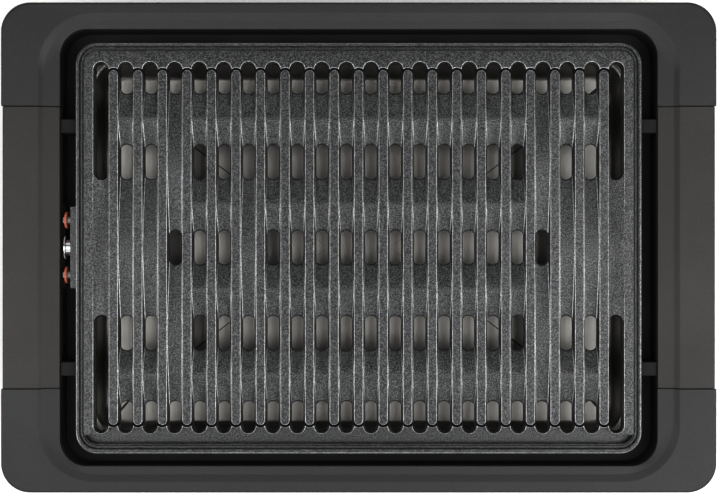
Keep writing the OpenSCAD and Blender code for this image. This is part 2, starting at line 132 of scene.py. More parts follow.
class Form:
    """A mesh under construction, in millimetres."""

    def __init__(self):
        self.mesh = bmesh.new()
        self.coat = FIRST_COAT

    def ring(self, points):
        """Adds the points and returns their corners."""
        return [self.mesh.verts.new((x * MM, y * MM, z * MM)) for x, y, z in points]

    def face(self, corners, coat):
        """One face in one of the coats."""
        self.mesh.faces.new(corners).material_index = coat

    def strip(self, rings, marked=()):
        """Joins each ring to the next with four-sided faces; marked columns get the second coat."""
        for low, high in zip(rings, rings[1:]):
            for index in range(len(low)):
                following = (index + 1) % len(low)
                coat = SECOND_COAT if index in marked else self.coat
                self.face((low[index], low[following], high[following], high[index]), coat)

    def lid(self, *rings):
        """Fills the flat area inside the first ring and outside the others."""
        edges = []
        for ring in rings:
            for first, second in zip(ring, ring[1:] + ring[:1]):
                found = self.mesh.edges.get((first, second))
                edges.append(found or self.mesh.edges.new((first, second)))
        filled = bmesh.ops.triangle_fill(self.mesh, use_beauty=True, edges=edges)
        for made in filled["geom"]:
            if isinstance(made, bmesh.types.BMFace):
                made.material_index = self.coat

    def solid(self, loops):
        """A closed solid through the loops, with a lid at each end."""
        rings = [self.ring(points) for points in loops]
        self.strip(rings)
        self.lid(rings[0])
        self.lid(rings[-1])

    def hoop(self, loops):
        """A closed ring-shaped solid: the last loop joins the first again."""
        rings = [self.ring(points) for points in loops]
        self.strip(rings + rings[:1])

    def piece(self, name, finishes, body, nodes):
        """Turns the mesh into an object that stands for its CAD nodes."""
        bmesh.ops.recalc_face_normals(self.mesh, faces=self.mesh.faces)
        data = bpy.data.meshes.new(name)
        self.mesh.to_mesh(data)
        self.mesh.free()
        for finish in finishes:
            data.materials.append(finish)
        data.polygons.foreach_set("use_smooth", [True] * len(data.polygons))
        data.set_sharp_from_angle(angle=SHARP_ANGLE)
        made = bpy.data.objects.new(name, data)
        bpy.context.scene.collection.objects.link(made)
        weighted = made.modifiers.new("flat faces stay flat", "WEIGHTED_NORMAL")
        weighted.keep_sharp = True
        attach(made, body)
        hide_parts(*nodes)
        print(f"{name}: {len(data.polygons)} faces")
        return made


# %% [markdown]
# ## Bars and blocks
# A section of (across, up) points can be drawn along Y into a bar. Its cut ends get a small
# bevel, because no moulded or cast part has a knife edge, and a bevel catches the light.

# %% Bars along Y


def beam(form, section, y_from, y_to, bevel=0.3, side=1):
    """A section of (across, up) points drawn along Y, with bevelled ends; side -1 mirrors it."""
    smaller = drawn_in(section, bevel)
    stations = [(y_from, smaller), (y_from + bevel, section), (y_to - bevel, section), (y_to, smaller)]
    form.solid([[(side * point.x, y, point.y) for point in path] for y, path in stations])


def box_section(x_from, x_to, low, high, radius=0.4):
    """Outline of a block with slightly soft edges."""
    corners = [(x_from, low, radius), (x_to, low, radius), (x_to, high, radius), (x_from, high, radius)]
    return rounded_path(corners, 3)


print("points round a block:", len(box_section(0, 10, 0, 5)))

# %% [markdown]
# ## Shader maths as Python
# A material in Blender is a graph of nodes. Written by hand, the graph for even a small formula
# is long. The class below wraps one socket, and its operators add the Math nodes. A second
# class holds a material and has one method that adds any other node.

# %% Shader helpers


class Signal:
    """One socket of a material's graph, with arithmetic."""

    def __init__(self, finish, socket):
        self.finish = finish
        self.socket = socket

    def math(self, operation, first, second):
        """Adds one Math node and returns its value."""
        return self.finish.node("Math", {"operation": operation}, {0: first, 1: second})

    def clipped(self):
        """The same value, kept between 0 and 1."""
        return self.finish.node("Clamp", inputs={"Value": self})

    def __add__(self, other):
        return self.math("ADD", self, other)

    def __sub__(self, other):
        return self.math("SUBTRACT", self, other)

    def __rsub__(self, other):
        return self.math("SUBTRACT", other, self)

    def __mul__(self, other):
        return self.math("MULTIPLY", self, other)

    __radd__ = __add__
    __rmul__ = __mul__


class Finish:
    """A material under construction, with one Principled shader."""

    def __init__(self, name):
        self.material = bpy.data.materials.new(name)
        self.material.use_nodes = True
        self.tree = self.material.node_tree
        self.shader = self.tree.nodes["Principled BSDF"]
        self.place = self.node("TexCoord", output="Object")

    def node(self, kind, settings=None, inputs=None, output=0):
        """Adds a node, sets it up, feeds its sockets and returns one of its outputs."""
        made = self.tree.nodes.new("ShaderNode" + kind)
        for key, value in (settings or {}).items():
            setattr(made, key, value)
        self.fill(made, inputs or {})
        return Signal(self, made.outputs[output])

    def fill(self, node, inputs):
        """Links or sets the inputs of a node."""
        for key, value in inputs.items():
            if isinstance(value, Signal):
                self.tree.links.new(value.socket, node.inputs[key])
            else:
                node.inputs[key].default_value = value

    def noise(self, grain, stretch=(1, 1, 1), detail=2.0, roughness=0.5):
        """Noise with grains of a size in millimetres, drawn out along an axis if need be."""
        size = tuple(1 / factor for factor in stretch)
        drawn = self.node("VectorMath", {"operation": "MULTIPLY"}, {0: self.place, 1: size})
        inputs = {"Vector": drawn, "Scale": 1 / (grain * MM), "Detail": detail, "Roughness": roughness}
        return self.node("TexNoise", inputs=inputs)

    def mix(self, share, first, second):
        """A colour between two, by a share from 0 to 1."""
        settings = {"data_type": "RGBA", "clamp_factor": True}
        return self.node("Mix", settings, {0: share, 6: first, 7: second}, output=2)

    def span(self, signal, low, high):
        """How far a signal has come from low to high, as a share from 0 to 1."""
        return ((signal - low) * (1 / (high - low))).clipped()

    def bump(self, height, depth, strength=1.0):
        """Feeds the shader's normal from a height, depth in millimetres."""
        inputs = {"Height": height, "Distance": depth * MM, "Strength": strength}
        self.feed({"Normal": self.node("Bump", inputs=inputs)})

    def feed(self, inputs):
        """Sets or links sockets of the Principled shader."""
        self.fill(self.shader, inputs)


def grey(value, warmth=0.0):
    """A grey with a little more red and less blue where warmth is above nought."""
    return (value * (1 + warmth), value, value * (1 - warmth), 1.0)


print("a warm grey:", grey(0.5, 0.1))

# %% [markdown]
# ## The moulded plastics
# Frame and tub are black plastic with a fine spark-eroded grain: a dull sheen that breaks up
# into tiny points close to. The handles come from another tool and are a shade warmer. The
# grain is a fine noise in the bump, and a broad noise changes the gloss a little, as handled
# plastic does.

# %% Plastics


def moulded_plastic(name, value, warmth, gloss):
    """Grained plastic of a grey value, with gloss as its middle roughness."""
    finish = Finish(name)
    grain = finish.noise(0.6, detail=3.0, roughness=0.65)
    cloud = finish.noise(60.0, detail=3.0, roughness=0.55)
    shade = finish.span(grain, 0.3, 0.7)
    finish.feed({
        "Base Color": finish.mix(shade, grey(0.55 * value, warmth), grey(1.45 * value, warmth)),
        "Roughness": gloss - 0.04 + 0.09 * finish.span(cloud, 0.3, 0.7),
        "Specular IOR Level": 0.42,
    })
    finish.bump(grain, 0.035, 0.55)
    return finish.material


FRAME_PLASTIC = moulded_plastic("frame_plastic", 0.017, -0.005, 0.52)
HANDLE_PLASTIC = moulded_plastic("handle_plastic", 0.018, 0.08, 0.50)
# The well coat is painted shade: a nearly black plastic for the wall, ledge and rests in the gap.
WELL_PAINTED_SHADE = moulded_plastic("well_painted_shade", 0.003, 0.0, 0.75)
PORT_RESIN = moulded_plastic("port_resin", 0.012, 0.0, 0.65)
PAD_RUBBER = moulded_plastic("pad_rubber", 0.016, 0.0, 0.80)
print("plastics:", FRAME_PLASTIC.name, HANDLE_PLASTIC.name, PORT_RESIN.name, PAD_RUBBER.name)

# %% [markdown]
# ## The non-stick coat
# The cast plate is sprayed with a dark grey coat full of fine flecks. It catches the light at
# every edge. Two noises make the flecks, one for the colour and one for the pimples of the
# spray. The round edges get a second, much brighter coat, which is a painted highlight along
# every edge, and the walls of the slots get a nearly black coat, which is painted shade.

# %% Non-stick coat
COAT_WARMTH = -0.02


def nonstick_coat(name, dark, pale, metallic, gloss):
    """Speckled spray coat on cast metal, with its flecks between a dark and a pale grey."""
    finish = Finish(name)
    flecks = finish.noise(0.80, detail=2.0, roughness=0.6)
    pimples = finish.noise(0.95, detail=2.0, roughness=0.6)
    share = finish.span(flecks, 0.44, 0.62)
    finish.feed({
        "Base Color": finish.mix(share, grey(dark, COAT_WARMTH), grey(pale, COAT_WARMTH)),
        "Metallic": metallic,
        "Roughness": gloss - 0.05 + 0.11 * finish.span(pimples, 0.35, 0.65),
        "Specular IOR Level": 0.6,
    })
    finish.bump(pimples, 0.16, 0.9)
    return finish.material


NONSTICK = nonstick_coat("nonstick_cast", 0.001, 0.090, 0.30, 0.35)
# The edge coat is a painted highlight: a pale, metallic base colour on every rounded edge.
EDGE_HIGHLIGHT_COAT = nonstick_coat("nonstick_painted_edge_highlight", 0.22, 0.52, 0.9, 0.32)
# The slot coat is painted shade: an almost black colour on the walls of the slots.
SLOT_PAINTED_SHADE = nonstick_coat("nonstick_slot_painted_shade", 0.001, 0.004, 0.0, 0.80)
print("coats:", NONSTICK.name, EDGE_HIGHLIGHT_COAT.name, SLOT_PAINTED_SHADE.name)

# %% [markdown]
# ## Sheet metal and small metal parts
# The drip tray is rolled sheet: its grain runs one way, in long fine lines, so the light
# smears across them. Noise that is stretched a hundredfold gives those lines, in the bump and
# in the roughness.

# %% Metals


def rolled_sheet(name, colour, gloss, stretch):
    """Metal sheet with a grain drawn out along one axis."""
    finish = Finish(name)
    lines = finish.noise(0.5, stretch=stretch, detail=3.0, roughness=0.7)
    stains = finish.noise(45.0, detail=4.0, roughness=0.6)
    darker = tuple(0.80 * part for part in colour[:3]) + (1.0,)
    finish.feed({
        "Base Color": finish.mix(finish.span(stains, 0.35, 0.65), darker, colour),
        "Metallic": 1.0,
        "Roughness": gloss - 0.06 + 0.14 * finish.span(lines, 0.3, 0.7),
    })
    finish.bump(lines, 0.02, 0.5)
    return finish.material


def plated_metal(name, value, gloss):
    """Bright plated or drawn metal with faint turning marks."""
    finish = Finish(name)
    marks = finish.noise(0.25, detail=2.0)
    smudge = finish.noise(6.0, detail=3.0)
    share = finish.span(smudge, 0.3, 0.7)
    finish.feed({
        "Base Color": finish.mix(share, grey(0.85 * value), grey(value)),
        "Metallic": 1.0,
        "Roughness": gloss + 0.12 * share,
    })
    finish.bump(marks, 0.01, 0.4)
    return finish.material


def seal_silicone(name):
    """Orange-red silicone with a dusty bloom."""
    finish = Finish(name)
    bloom = finish.noise(1.2, detail=3.0)
    share = finish.span(bloom, 0.35, 0.7)
    finish.feed({
        "Base Color": finish.mix(share, (0.36, 0.075, 0.035, 1), (0.55, 0.17, 0.09, 1)),
        "Roughness": 0.5 + 0.2 * finish.span(bloom, 0.3, 0.7),
    })
    finish.bump(bloom, 0.03, 0.5)
    return finish.material


TRAY_METAL = rolled_sheet("tray_metal", (0.36, 0.35, 0.33, 1), 0.40, (1, 60, 60))
# The fold finish is painted shade: a near-black sheet colour along the hips of the tray floor.
FOLD_PAINTED_SHADE = rolled_sheet("tray_fold_painted_shade", (0.05, 0.048, 0.044, 1), 0.55, (1, 60, 60))
SHIELD_METAL = rolled_sheet("shield_metal", (0.55, 0.55, 0.53, 1), 0.42, (60, 1, 60))
SHEATH_STEEL = plated_metal("sheath_steel", 0.22, 0.40)
BRIGHT_PLATE = plated_metal("bright_plate", 0.55, 0.22)
SCREW_STEEL = plated_metal("screw_steel", 0.55, 0.28)
SEAL_RED = seal_silicone("seal_red")
print("metals:", TRAY_METAL.name, SHIELD_METAL.name, SHEATH_STEEL.name, BRIGHT_PLATE.name)

# %% [markdown]
# ## The plate's layout
# Twenty-one ribs run front to rear. Between them are channels, and each channel has drain slots
# where the element doesn't pass below. The floor of a channel rises from each slot to a gable
# halfway to the next, so that fat runs to the slots. All the spacings follow from the pitch.

# %% Plate layout
plate_low, plate_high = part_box("grill_plate")
PLATE_HALF_X = plate_high.x / MM
PLATE_HALF_Y = plate_high.y / MM
PLATE_TOP = plate_high.z / MM
PLATE_R = 14.7
DECK_TOP = PLATE_TOP - 0.8
WALL_TOP = DECK_TOP - 0.42
FLOOR_LOW = PLATE_TOP - 5.4
WEB_UNDER = PLATE_TOP - 6.8
SKIRT_UNDER = PLATE_TOP - 10
RIBS = 21
PITCH = 16.77
RIB_HALF = 3.15
RIB_END_Y = 118.25
BAY_R = PITCH / 2 - RIB_HALF
BAY_Y = 121.67
HOLLOW_R = RIB_HALF + 1.4
SLOT_R = 4.5
DRAFT = (BAY_R - SLOT_R) / (WALL_TOP - FLOOR_LOW)
# channels that the element crosses in the side rows, and channels with no middle slot
CROSSED = [3, RIBS - 3]
SOLID_MIDDLE = [1, 2, 6, RIBS - 2, RIBS - 1]
MIDDLE_ROW = (-12.65, 12.65)
SIDE_ROW = (46.0, 71.5)
END_ROW = (104.7, 126.9)


def channel_x(channel):
    """Middle of a channel; channels are counted from the left, and 0 and 21 lie outside the ribs."""
    return (channel - RIBS / 2) * PITCH


def slots_of(channel):
    """The slots of a channel as (front end, rear end), from front to rear."""
    if channel in (0, RIBS):
        return [(-END_ROW[1], -SIDE_ROW[0]), (SIDE_ROW[0], END_ROW[1])]
    ahead = [END_ROW] if channel in CROSSED else [SIDE_ROW, END_ROW]
    middle = [] if channel in SOLID_MIDDLE else [MIDDLE_ROW]
    behind = [(-rear, -front) for front, rear in reversed(ahead)]
    return behind + middle + ahead


print("slots in the plate:", sum(len(slots_of(channel)) for channel in range(RIBS + 1)))

# %% [markdown]
# ## The margin of the plate
# The margin is one casting: a rounded bead on the outside, a narrow groove, and a flat deck that
# ends in a scalloped edge over the channels. Its inner outline is worked out for any growth, so
# that the same formula gives the soft upper edge and the drafted wall below it.

# %% Plate margin
BAY_STEPS = 14
HOLLOW_STEPS = 8
EDGE_STEPS = 4
FRONT_LIP = 1.1
LIP_INSET = 2.1
WALL_LEVELS = 4


def field_outline(growth, height):
    """The sunken field's outline: a round bay over each channel, a hollow round each rib's end."""
    bay = BAY_R + growth
    hollow = HOLLOW_R + growth
    neck = RIB_HALF - growth
    corner_y = RIB_END_Y + sqrt(max(0.0, hollow ** 2 - neck ** 2))
    bay_stop = pi
    hollow_span = asin(min(1.0, neck / hollow))
    if corner_y > BAY_Y:
        # the bay and the hollow meet above the bay's own middle: cross the two circles
        across, down = PITCH / 2, BAY_Y - RIB_END_Y
        apart = hypot(across, down)
        along = (bay ** 2 - hollow ** 2 + apart ** 2) / (2 * apart)
        aside = sqrt(bay ** 2 - along ** 2)
        meet_x = (-along * across - aside * down) / apart
        meet_y = (-along * down + aside * across) / apart
        bay_stop = atan2(meet_y, meet_x)
        hollow_span = atan2(meet_x + across, meet_y + down)
    rear = []
    for channel in reversed(range(RIBS + 1)):
        for step in range(BAY_STEPS + 1):
            turn = pi - bay_stop + (2 * bay_stop - pi) * step / BAY_STEPS
            rear.append((channel_x(channel) + bay * cos(turn), BAY_Y + bay * sin(turn)))
        if channel == 0:
            continue
        for step in range(HOLLOW_STEPS + 1):
            turn = pi / 2 - hollow_span + 2 * hollow_span * step / HOLLOW_STEPS
            rib_x = channel_x(channel) - PITCH / 2
            rear.append((rib_x + hollow * cos(turn), RIB_END_Y + hollow * sin(turn)))
    front = [(-x, -y) for x, y in rear]
    return [(x, y, height) for x, y in rear + front]


def wall_growth(height):
    """How far the drafted wall has come into the channel at a height."""
    return -DRAFT * (WALL_TOP - height)


def soft_edge(radius, steps=EDGE_STEPS):
    """A quarter round as (inwards, down) from the flat top to the upright wall."""
    turns = [pi / 2 * step / steps for step in range(steps + 1)]
    return [(radius * (1 - sin(turn)), radius * (1 - cos(turn))) for turn in turns]


def plate_loop(inset, height):
    """The plate's outline, drawn in by a distance; its bead is wider along the front."""
    lip = FRONT_LIP * max(0.0, min(1.0, LIP_INSET - inset))
    points = round_rectangle(PLATE_HALF_X - inset, PLATE_HALF_Y - inset, PLATE_R - inset, height)
    return [(x, y - lip if y < 0 else y, z) for x, y, z in points]


def cast_margin(form):
    """Bead, groove, deck and skirt, with the scalloped wall of the field."""
    groove_floor = DECK_TOP - 1.6
    under = [(5.0, WEB_UNDER), (5.0, SKIRT_UNDER + 0.5), (4.5, SKIRT_UNDER), (0.7, SKIRT_UNDER),
             (0.2, SKIRT_UNDER + 0.4), (0.0, SKIRT_UNDER + 1.0), (0.0, PLATE_TOP - 1.6)]
    rim = [(0.0, PLATE_TOP - 1.6), (0.16, PLATE_TOP - 0.95), (0.55, PLATE_TOP - 0.38),
           (1.1, PLATE_TOP - 0.08)]
    bead = [(1.1, PLATE_TOP - 0.08), (1.6, PLATE_TOP), (2.1, PLATE_TOP - 0.1), (2.5, PLATE_TOP - 0.45),
            (2.75, PLATE_TOP - 1.0), (2.85, groove_floor), (3.35, groove_floor),
            (3.5, DECK_TOP - 0.65), (3.8, DECK_TOP - 0.35), (4.3, DECK_TOP - 0.35),
            (4.65, DECK_TOP - 0.65), (4.8, groove_floor), (5.3, groove_floor), (5.4, DECK_TOP - 0.5),
            (5.6, DECK_TOP - 0.15), (5.95, DECK_TOP)]
    rings = {}
    # The bead's outer rounding gets the second coat, a painted highlight.
    for coat, outline in ((FIRST_COAT, under), (SECOND_COAT, rim), (FIRST_COAT, bead)):
        form.coat = coat
        for place in outline:
            if place not in rings:
                rings[place] = form.ring(plate_loop(*place))
        form.strip([rings[place] for place in outline])
    soft = [(growth, DECK_TOP - down) for growth, down in soft_edge(DECK_TOP - WALL_TOP)]
    levels = []
    for level in range(1, WALL_LEVELS + 1):
        height = WALL_TOP + level / WALL_LEVELS * (FLOOR_LOW - WALL_TOP)
        levels.append((wall_growth(height), height))
    levels.append((wall_growth(FLOOR_LOW) - 0.5, WEB_UNDER))
    inner = [form.ring(field_outline(growth, height)) for growth, height in soft + levels]
    # The soft upper edge of the field gets the second coat, a painted highlight.
    form.coat = SECOND_COAT
    form.strip(inner[:len(soft)])
    form.coat = FIRST_COAT
    form.strip(inner[len(soft) - 1:])
    form.lid(rings[bead[-1]], inner[0])
    form.lid(rings[under[0]], inner[-1])


plate = Form()
cast_margin(plate)
print("margin faces:", len(plate.mesh.faces))

# %% [markdown]
# ## The ribs
# A rib is a long bar with round ends, a flat top, soft upper edges and walls that lean out
# towards the foot, as any casting needs to leave its mould. Each is lofted from its foot up.

# %% Ribs
RIB_FOOT_SINK = 0.02
RIB_ROOT = 0.6
RIB_END_STEPS = 9


def rib_loop(middle_x, half_width, height):
    """A bar with round ends in plan."""
    points = []
    for end in (1, -1):
        for step in range(RIB_END_STEPS + 1):
            turn = pi * step / RIB_END_STEPS
            x = end * half_width * cos(turn)
            points.append((middle_x + x, end * (RIB_END_Y + half_width * sin(turn)), height))
    return points


def cast_rib(form, index):
    """One rib, from below the web up to its flat top."""
    middle_x = channel_x(index) + PITCH / 2
    foot = RIB_HALF - wall_growth(FLOOR_LOW)
    loops = [rib_loop(middle_x, foot + RIB_ROOT, WEB_UNDER - RIB_FOOT_SINK),
             rib_loop(middle_x, foot, FLOOR_LOW)]
    for inwards, down in reversed(soft_edge(DECK_TOP - WALL_TOP)):
        loops.append(rib_loop(middle_x, RIB_HALF - inwards, DECK_TOP - down))
    rings = [form.ring(points) for points in loops]
    form.strip(rings[:3])
    # The soft upper edges get the second coat, a painted highlight along the rib's top.
    form.coat = SECOND_COAT
    form.strip(rings[2:])
    form.coat = FIRST_COAT
    form.lid(rings[0])
    form.lid(rings[-1])


for rib in range(RIBS):
    cast_rib(plate, rib)
print("margin and ribs:", len(plate.mesh.faces), "faces")

# %% [markdown]
# ## The gabled channel floors
# Between two slots the floor rises to a rounded gable and falls again. It meets the ribs in a
# small hollow and turns down softly into each slot. A cross-section is laid at many places
# along the channel, and its ends bend round the slot, so that the slot keeps its round shape.

# %% Channel floors
FLOOR_STEPS = 8
FOOT_STEPS = 3
FOOT_R = 0.5
SMALLEST_FOOT = 0.05
SLOT_EDGE_R = 0.45
SLOT_DRAFT = 0.9
WALL_FOOT = 0.05
CORNER_COVER = 0.35
# The columns of the floor's foot hollows get the second coat, a painted highlight.
HIGHLIGHT_FOOT_COLUMNS = range(1, FOOT_STEPS + 1)
GABLE_RISE = DECK_TOP - 0.35 - FLOOR_LOW
GABLE_SOFTNESS = 0.30
GABLE_LIFT = 0.03
GABLE_STATIONS = [0.03, 0.1, 0.2, 0.3, 0.38, 0.44, 0.47, 0.5, 0.53, 0.56, 0.62, 0.7, 0.8, 0.9, 0.97]


def gable_height(share):
    """Height of the floor at a share of the way between two slots."""
    aside = abs(2 * share - 1)
    fall = sqrt(aside ** 2 + GABLE_SOFTNESS ** 2)
    return FLOOR_LOW + GABLE_RISE * (1 - fall) / (1 - GABLE_SOFTNESS)


def slot_reach(x, tip, side):
    """Where a slot's round end is at a distance x from the channel's middle."""
    inside = min(abs(x), SLOT_R)
    return tip - side * (SLOT_R - sqrt(SLOT_R ** 2 - inside ** 2))


def foot_round(wall, floor, foot):
    """The small hollow between a floor and a wall, as (x, height)."""
    points = []
    for step in range(FOOT_STEPS + 1):
        turn = pi / 2 * step / FOOT_STEPS
        points.append((wall - foot + foot * sin(turn), floor + foot - foot * cos(turn)))
    return points + [(wall + CORNER_COVER, floor + foot)]


def floor_section(floor):
    """Cross-section of a channel floor as (x, height), from left foot to right foot."""
    wall = min(BAY_R, BAY_R + wall_growth(floor))
    foot = min(FOOT_R, max(SMALLEST_FOOT, DECK_TOP - SMALLEST_FOOT - floor))
    right = foot_round(wall, floor, foot)
    flat = wall - foot
    level = [(-flat + 2 * flat * step / FLOOR_STEPS, floor) for step in range(1, FLOOR_STEPS)]
    return [(-x, height) for x, height in reversed(right)] + level + right


def slot_stations(shares):
    """Places along a floor as (share of the way, shift, depth): soft edges at both slots."""
    edge = [(SLOT_EDGE_R - inwards, down) for inwards, down in soft_edge(SLOT_EDGE_R)]
    start = [(0.0, shift, down) for shift, down in reversed(edge)]
    end = [(1.0, -shift, down) for shift, down in edge]
    return start + [(share, 0.0, 0.0) for share in shares] + end


def floor_between(form, channel, tips, shares, section_at, under, marked=()):
    """A closed block between two slots, whose ends follow the slots' round ends.

    The slots' walls, at both ends of the block, get the third coat, which is painted shade.
    """
    stations = [(0.0, -SLOT_DRAFT, None)] + slot_stations(shares) + [(1.0, SLOT_DRAFT, None)]
    rings = []
    for share, shift, down in stations:
        row = []
        for x, height in section_at(share):
            start = slot_reach(x, tips[0], 1)
            end = slot_reach(x, tips[1], -1)
            level = under + WALL_FOOT if down is None else height - down
            row.append((channel_x(channel) + x, start + share * (end - start) + shift, level))
        below = [(x, y, under) for x, y, _ in reversed(row)]
        rings.append(form.ring(row + below))
    width = len(rings[0]) // 2
    form.strip(rings[1:-1], marked=[*marked, *(width - 2 - column for column in marked)])
    # The slot walls get the third coat, painted shade.
    form.coat = THIRD_COAT
    form.strip(rings[:2])
    form.strip(rings[-2:])
    for ring in (rings[0], rings[-1]):
        for index in range(len(ring) // 2 - 1):
            form.face((ring[index], ring[index + 1], ring[-2 - index], ring[-1 - index]), form.coat)
    form.coat = FIRST_COAT


def gable_section(share):
    """Cross-section of a gabled floor at a share of the way."""
    return floor_section(gable_height(share))


for channel in range(1, RIBS):
    slots = slots_of(channel)
    for behind, ahead in zip(slots, slots[1:]):
        tips = (behind[1], ahead[0])
        under = WEB_UNDER + GABLE_LIFT
        # The foot hollows of each floor get the painted highlight coat.
        floor_between(plate, channel, tips, GABLE_STATIONS, gable_section, under, HIGHLIGHT_FOOT_COLUMNS)
print("with channel floors:", len(plate.mesh.faces), "faces")

# %% [markdown]
# ## The shelves beside the outermost ribs
# Outside the first and last rib the deck runs on between the two long slots. There it leans down
# towards the rib's foot, not at all in the middle and most at the slots, so that it looks
# like a pair of long thin wedges.

# %% Shelves
WEDGE_DEPTH = 3.0
SHELF_STEPS = 10
SHELF_STATIONS = 12
SHELF_LIFT = 0.012
SHELF_FOOT = 0.3
SHELF_COVER = 1.0
SHELF_UNDER = WEB_UNDER + 0.04


def eased(share):
    """A share from 0 to 1 that starts and stops gently."""
    return share * share * (3 - 2 * share)


def shelf_section(depth, side):
    """Cross-section of a shelf as (x, height), from the deck to the foot of the rib."""
    floor = DECK_TOP - SHELF_FOOT - depth
    wall = min(BAY_R, BAY_R + wall_growth(floor))
    outside = -BAY_R - SHELF_COVER
    section = []
    for step in range(SHELF_STEPS + 1):
        share = step / SHELF_STEPS
        x = outside + share * (wall - SHELF_FOOT - outside)
        section.append((x, DECK_TOP + SHELF_LIFT - eased(share) * (DECK_TOP + SHELF_LIFT - floor)))
    section += foot_round(wall, floor, SHELF_FOOT)[1:]
    return [(side * x, height) for x, height in section]


def shelf(form, channel):
    """The shelf between the two long slots of an outermost channel."""
    side = 1 if channel == 0 else -1
    shares = [step / SHELF_STATIONS for step in range(1, SHELF_STATIONS)]

    def section_at(share):
        return shelf_section(WEDGE_DEPTH * abs(2 * share - 1), side)

    floor_between(form, channel, (-SIDE_ROW[0], SIDE_ROW[0]), shares, section_at, SHELF_UNDER)


for channel in (0, RIBS):
    shelf(plate, channel)
print("with shelves:", len(plate.mesh.faces), "faces")

# %% [markdown]
# ## Under the plate
# The element lies in an open groove between two walls that are cast under the plate. A section
# of both walls is swept along the element's route, with real quarter-circle bends. At the left
# edge stand a tab for the terminals and a long boss for the probe.

# %% Ridges, tab and boss
TAB_LEFT = plate_low.x / MM
TAB_HALF = 28.5
TAB_THICK = 11.0
BOSS_HALF = 8.0
RIDGE_HALF_W = 6.0
GROOVE_HALF = 3.4
GROOVE_ROOF = 79.3
RIDGE_UNDER = plate_low.z / MM
RUN_INNER = 29.3
RUN_OUTER = 88.1
TERMINAL_Y = 19.0
JOG_X = -165.0
BEND_R = 16.0
CROSS_X = -channel_x(3)
CROSS_MID = channel_x(6)


def bent_path(corners, radius, steps=8):
    """An open path through the corners, with a quarter circle at each right angle."""
    path = [Vector(corners[0])]
    for before, here, after in zip(corners, corners[1:], corners[2:]):
        corner = Vector(here)
        back = (Vector(before) - corner).normalized() * radius
        on = (Vector(after) - corner).normalized() * radius
        for step in range(steps + 1):
            turn = pi / 2 * step / steps
            path.append(corner + back + on - on * cos(turn) - back * sin(turn))
    return path + [Vector(corners[-1])]


def swept(form, section, path):
    """A closed section of (across, up) points drawn along an open path in plan."""
    loops = []
    for index, point in enumerate(path):
        before = path[max(0, index - 1)]
        after = path[min(len(path) - 1, index + 1)]
        along = (after - before).normalized()
        loop = []
        for across, up in section:
            loop.append((point.x - along.y * across, point.y + along.x * across, up))
        loops.append(loop)
    form.solid(loops)


def ridge_section():
    """Two walls with a groove between them, rounded at their lower edges."""
    top, low, deep = WEB_UNDER + 0.3, RIDGE_UNDER, GROOVE_ROOF
    half = [(GROOVE_HALF, deep, 0.8), (GROOVE_HALF, low, 0.4), (RIDGE_HALF_W, low, 0.8),
            (RIDGE_HALF_W, top, 0.1)]
    mirrored = [(-across, up, radius) for across, up, radius in reversed(half)]
    return rounded_path(mirrored + half, 2)


half_route = [(JOG_X, RUN_INNER), (-CROSS_X, RUN_INNER), (-CROSS_X, RUN_OUTER), (CROSS_X, RUN_OUTER),
              (CROSS_X, RUN_INNER), (CROSS_MID, RUN_INNER)]
route = half_route + [(x, -y) for x, y in reversed(half_route)]
swept(plate, ridge_section(), bent_path(route, BEND_R))
for end in (1, -1):
    leg_y = end * TERMINAL_Y
    swept(plate, ridge_section(), [Vector((TAB_LEFT + 9, leg_y)), Vector((JOG_X - 5, leg_y))])
    link = box_section(JOG_X - 8, JOG_X + 4, RIDGE_UNDER + 0.05, WEB_UNDER + 0.2)
    link_ends = (end * (TERMINAL_Y - RIDGE_HALF_W), end * (RUN_INNER + RIDGE_HALF_W))
    beam(plate, link, min(link_ends), max(link_ends))
tab = box_section(TAB_LEFT, TAB_LEFT + TAB_THICK, RIDGE_UNDER, WEB_UNDER + 0.1, 0.7)
beam(plate, tab, -TAB_HALF, TAB_HALF, 0.7)
boss_right = channel_x(3) - SLOT_R - 1
boss = box_section(TAB_LEFT + 10, boss_right, RIDGE_UNDER + 0.02, WEB_UNDER + 0.2, 0.8)
beam(plate, boss, -BOSS_HALF, BOSS_HALF, 0.7)
coats = (NONSTICK, EDGE_HIGHLIGHT_COAT, SLOT_PAINTED_SHADE)
plate.piece("plate_casting", coats, "grill_plate", ["grill_plate"])

# %% [markdown]
# ## Frame
# The frame is one moulding. Its section changes on the way round: at the sides a wide wing steps
# down over a crease to a lower band, and at front and rear the crease fades into one gentle
# slope. Two sections with the same number of points are blended by the turn of the corner.

# %% Frame sections
frame_low, frame_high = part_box("outer_frame")
WING_X = frame_high.x / MM
WING_Y = frame_high.y / MM
WING_TOP = frame_high.z / MM
OPEN_X = 205.2
OPEN_Y = 149.7
OPEN_R = 18.5
CREASE_X = 216.3
SKIRT = 14.0
SHELL = 2.5
SPLIT_Y = 96.9
SPLIT_BEVEL = 0.35

